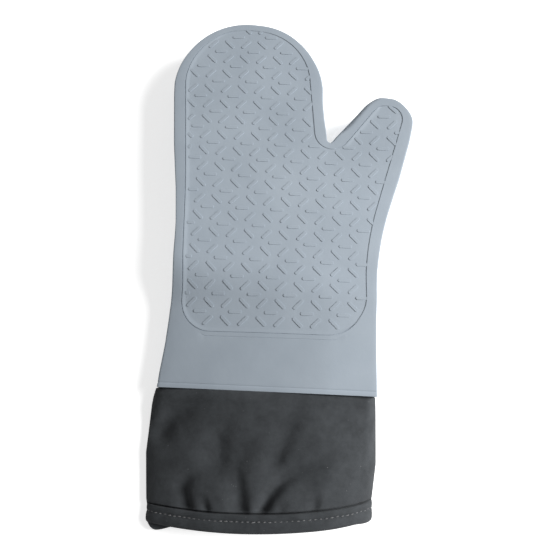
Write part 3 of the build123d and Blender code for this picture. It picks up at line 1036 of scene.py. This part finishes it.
def ranged(tree, value, before=(0.0, 1.0), after=(0.0, 1.0)):
    """A value taken from one range to another, and kept within it."""
    ends = dict(zip(("From Min", "From Max", "To Min", "To Max"), before + after))
    return add_node(tree, "MapRange", {"Value": value, **ends})["Result"]


def noise(tree, place, scale, detail=4.0, rough=0.55):
    """Noise on object coordinates, with a scale in cells per metre."""
    inputs = {"Vector": place, "Scale": scale, "Detail": detail, "Roughness": rough}
    return add_node(tree, "TexNoise", inputs)["Fac"]


def ramp(tree, value, low, high):
    """A colour ramp between two stops of position and colour."""
    node = tree.nodes.new("ShaderNodeValToRGB")
    for element, (position, colour) in zip(node.color_ramp.elements, (low, high)):
        element.position = position
        element.color = (*colour, 1.0)
    tree.links.new(value, node.inputs["Fac"])
    return node.outputs["Color"]


def raised(tree, height, strength, distance, **under):
    """A bump of a height in metres, on top of another one where given as its Normal."""
    inputs = {"Strength": strength, "Distance": distance, "Height": height, **under}
    return add_node(tree, "Bump", inputs)["Normal"]


def silicone_finish():
    """Matt grey-blue silicone: faint clouding, a fine moulded grain and a soft, uneven gloss."""
    material, tree, shader = new_material("silicone")
    place = add_node(tree, "TexCoord", {})["Object"]
    cloud = noise(tree, place, 28.0, 3.0)
    soft = raised(tree, noise(tree, place, 240.0, 2.0), 0.12, 0.0005)
    set_inputs(tree, shader, {
        "Base Color": ramp(tree, cloud, (0.3, (0.315, 0.362, 0.412)), (0.7, (0.350, 0.399, 0.450))),
        "Roughness": ranged(tree, noise(tree, place, 60.0, 5.0), after=(0.5, 0.66)),
        "Specular IOR Level": 0.35,
        "Normal": raised(tree, noise(tree, place, 2600.0, 2.0), 0.25, 0.00012, Normal=soft),
    })
    return material


def cloth_finish(name, dark, light, thread_pitch, lint):
    """Closely woven cloth: crossing threads on object coordinates, mottled dye, a soft sheen and, where lint
    is true, a few pale specks."""
    material, tree, shader = new_material(name)
    place = add_node(tree, "TexCoord", {})["Object"]
    turned = add_node(tree, "Mapping", {"Vector": place, "Rotation": (0.0, 0.0, 0.06)})["Vector"]
    scale = 1.0 / (thread_pitch * WAVE_BANDS)
    threads = {"Vector": turned, "Scale": scale, "Distortion": 1.2, "Detail Scale": 2.0}
    bands = [add_node(tree, "TexWave", threads, bands_direction=way)["Fac"] for way in ("X", "Y")]
    weave = math_of(tree, "MULTIPLY", *bands)
    mottled = math_of(tree, "MULTIPLY_ADD", weave, 0.35, noise(tree, place, 90.0, 6.0, 0.7))
    colour = ramp(tree, mottled, (0.3, dark), (0.85, light))
    if lint:
        cells = add_node(tree, "TexVoronoi", {"Vector": place, "Scale": 260.0})["Distance"]
        small = ranged(tree, cells, (0.03, 0.10), (1.0, 0.0))
        few = ranged(tree, noise(tree, place, 140.0, 2.0), (0.52, 0.62))
        share = math_of(tree, "MULTIPLY", small, few)
        specks = {"Factor": share, "A": colour, "B": (0.17, 0.175, 0.18, 1.0)}
        colour = add_node(tree, "Mix", specks, data_type="RGBA")["Result"]
    fuzz = raised(tree, noise(tree, place, 1500.0, 3.0, 0.7), 0.35, 0.0003)
    set_inputs(tree, shader, {
        "Base Color": colour,
        "Roughness": 0.85,
        "Specular IOR Level": 0.25,
        "Sheen Weight": 0.06,
        "Sheen Roughness": 0.5,
        "Normal": raised(tree, weave, 0.5, 0.0003, Normal=fuzz),
    })
    return material


def thread_finish():
    """Pale grey sewing thread: twisted strands as fine slanting waves, with uneven shade."""
    material, tree, shader = new_material("thread")
    place = add_node(tree, "TexCoord", {})["Object"]
    shade = noise(tree, place, 300.0, 3.0)
    strands = {"Vector": place, "Scale": 900.0}
    twist = add_node(tree, "TexWave", strands, bands_direction="DIAGONAL")["Fac"]
    set_inputs(tree, shader, {
        "Base Color": ramp(tree, shade, (0.3, (0.07, 0.07, 0.072)), (0.7, (0.20, 0.20, 0.205))),
        "Roughness": 0.7,
        "Sheen Weight": 0.2,
        "Normal": raised(tree, twist, 0.5, 0.0002),
    })
    return material


def make_studio():
    """A white floor that keeps the mitt's shadow, a soft key light from the right, and an even fill."""
    mesh = bpy.data.meshes.new("floor")
    corners = [(x * FLOOR_SIZE, y * FLOOR_SIZE, 0) for x, y in ((-1, -1), (1, -1), (1, 1), (-1, 1))]
    mesh.from_pydata(corners, [], [(0, 1, 2, 3)])
    floor = bpy.data.objects.new("floor", mesh)
    bpy.context.scene.collection.objects.link(floor)
    material, tree, shader = new_material("floor")
    ray = add_node(tree, "LightPath", {})
    seen = math_of(tree, "MAXIMUM", ray["Is Camera Ray"], ray["Is Glossy Ray"])
    seen = math_of(tree, "MAXIMUM", seen, ray["Is Transmission Ray"])
    set_inputs(tree, shader, {
        "Base Color": (0.8, 0.8, 0.8, 1.0),
        "Roughness": 0.9,
        "Specular IOR Level": 0.0,
        "Emission Color": WHITE,
        "Emission Strength": math_of(tree, "MULTIPLY", seen, FLOOR_GLOW),
    })
    mesh.materials.append(material)

    world = bpy.data.worlds.new("studio")
    bpy.context.scene.world = world
    world.use_nodes = True
    tree = world.node_tree
    fill = ranged(tree, add_node(tree, "LightPath", {})["Is Camera Ray"], after=(FILL, 1.0))
    set_inputs(tree, tree.nodes["Background"], {"Color": WHITE, "Strength": fill})

    lamp = bpy.data.lights.new("key", "AREA")
    lamp.size = KEY_SIZE
    lamp.energy = KEY_ENERGY
    key = bpy.data.objects.new("key", lamp)
    key.location = KEY_AIM + KEY_WAY * KEY_DISTANCE
    key.rotation_euler = KEY_WAY.to_track_quat("Z", "Y").to_euler()
    bpy.context.scene.collection.objects.link(key)


make_camera()
make_studio()
bpy.context.scene.view_settings.view_transform = "Standard"

silicone = silicone_finish()
charcoal = cloth_finish("cuff_fabric", (0.028, 0.031, 0.034), (0.062, 0.068, 0.074), 0.0006, True)
charcoal_lining = cloth_finish("cuff_lining", (0.03, 0.031, 0.033), (0.06, 0.062, 0.065), 0.0008, False)
cotton = cloth_finish("lining_cotton", (0.30, 0.30, 0.29), (0.46, 0.46, 0.44), 0.0007, False)
wadding = cloth_finish("batting", (0.55, 0.54, 0.50), (0.72, 0.71, 0.68), 0.0015, False)
thread = thread_finish()

hand, thumb = make_hand(silicone)
batting_hand, batting_thumb = make_layer("batting_hand", BATTING_INSET, BATTING, 0, wadding)
lining_hand, lining_thumb = make_layer("lining_hand", LINING_INSET, LINING, 1, cotton)
cuff_cloth, cuff_inside = make_cuff(charcoal, charcoal_lining)
hem = make_hem(charcoal)
stitches = make_stitches(thread)

# Bodies: the transforms of the hand's, the thumb's and the cuff's pieces are put into their meshes, and the
# hem and its stitches hang from the cuff's body
for piece in (hand, batting_hand, lining_hand):
    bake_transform(piece)
for piece in (thumb, batting_thumb, lining_thumb):
    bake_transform(piece)
for piece in (cuff_cloth, cuff_inside):
    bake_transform(piece)
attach(hem, "cuff")
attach(stitches, "cuff")

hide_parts("palm_shell", "fingers_shell")
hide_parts("thumb_shell")
halves = ("front", "back")
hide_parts(*[f"{zone}_batting_{half}" for zone in ("palm", "fingers") for half in halves])
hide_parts(*[f"thumb_batting_{half}" for half in halves])
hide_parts(*[f"{zone}_lining_{half}" for zone in ("palm", "fingers") for half in halves])
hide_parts(*[f"thumb_lining_{half}" for half in halves])
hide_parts("cuff_front_panel", "cuff_back_panel", "cuff_seam_allowance")
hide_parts("cuff_lining_front", "cuff_lining_back")
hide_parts("hem_band")
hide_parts("hem_stitches")
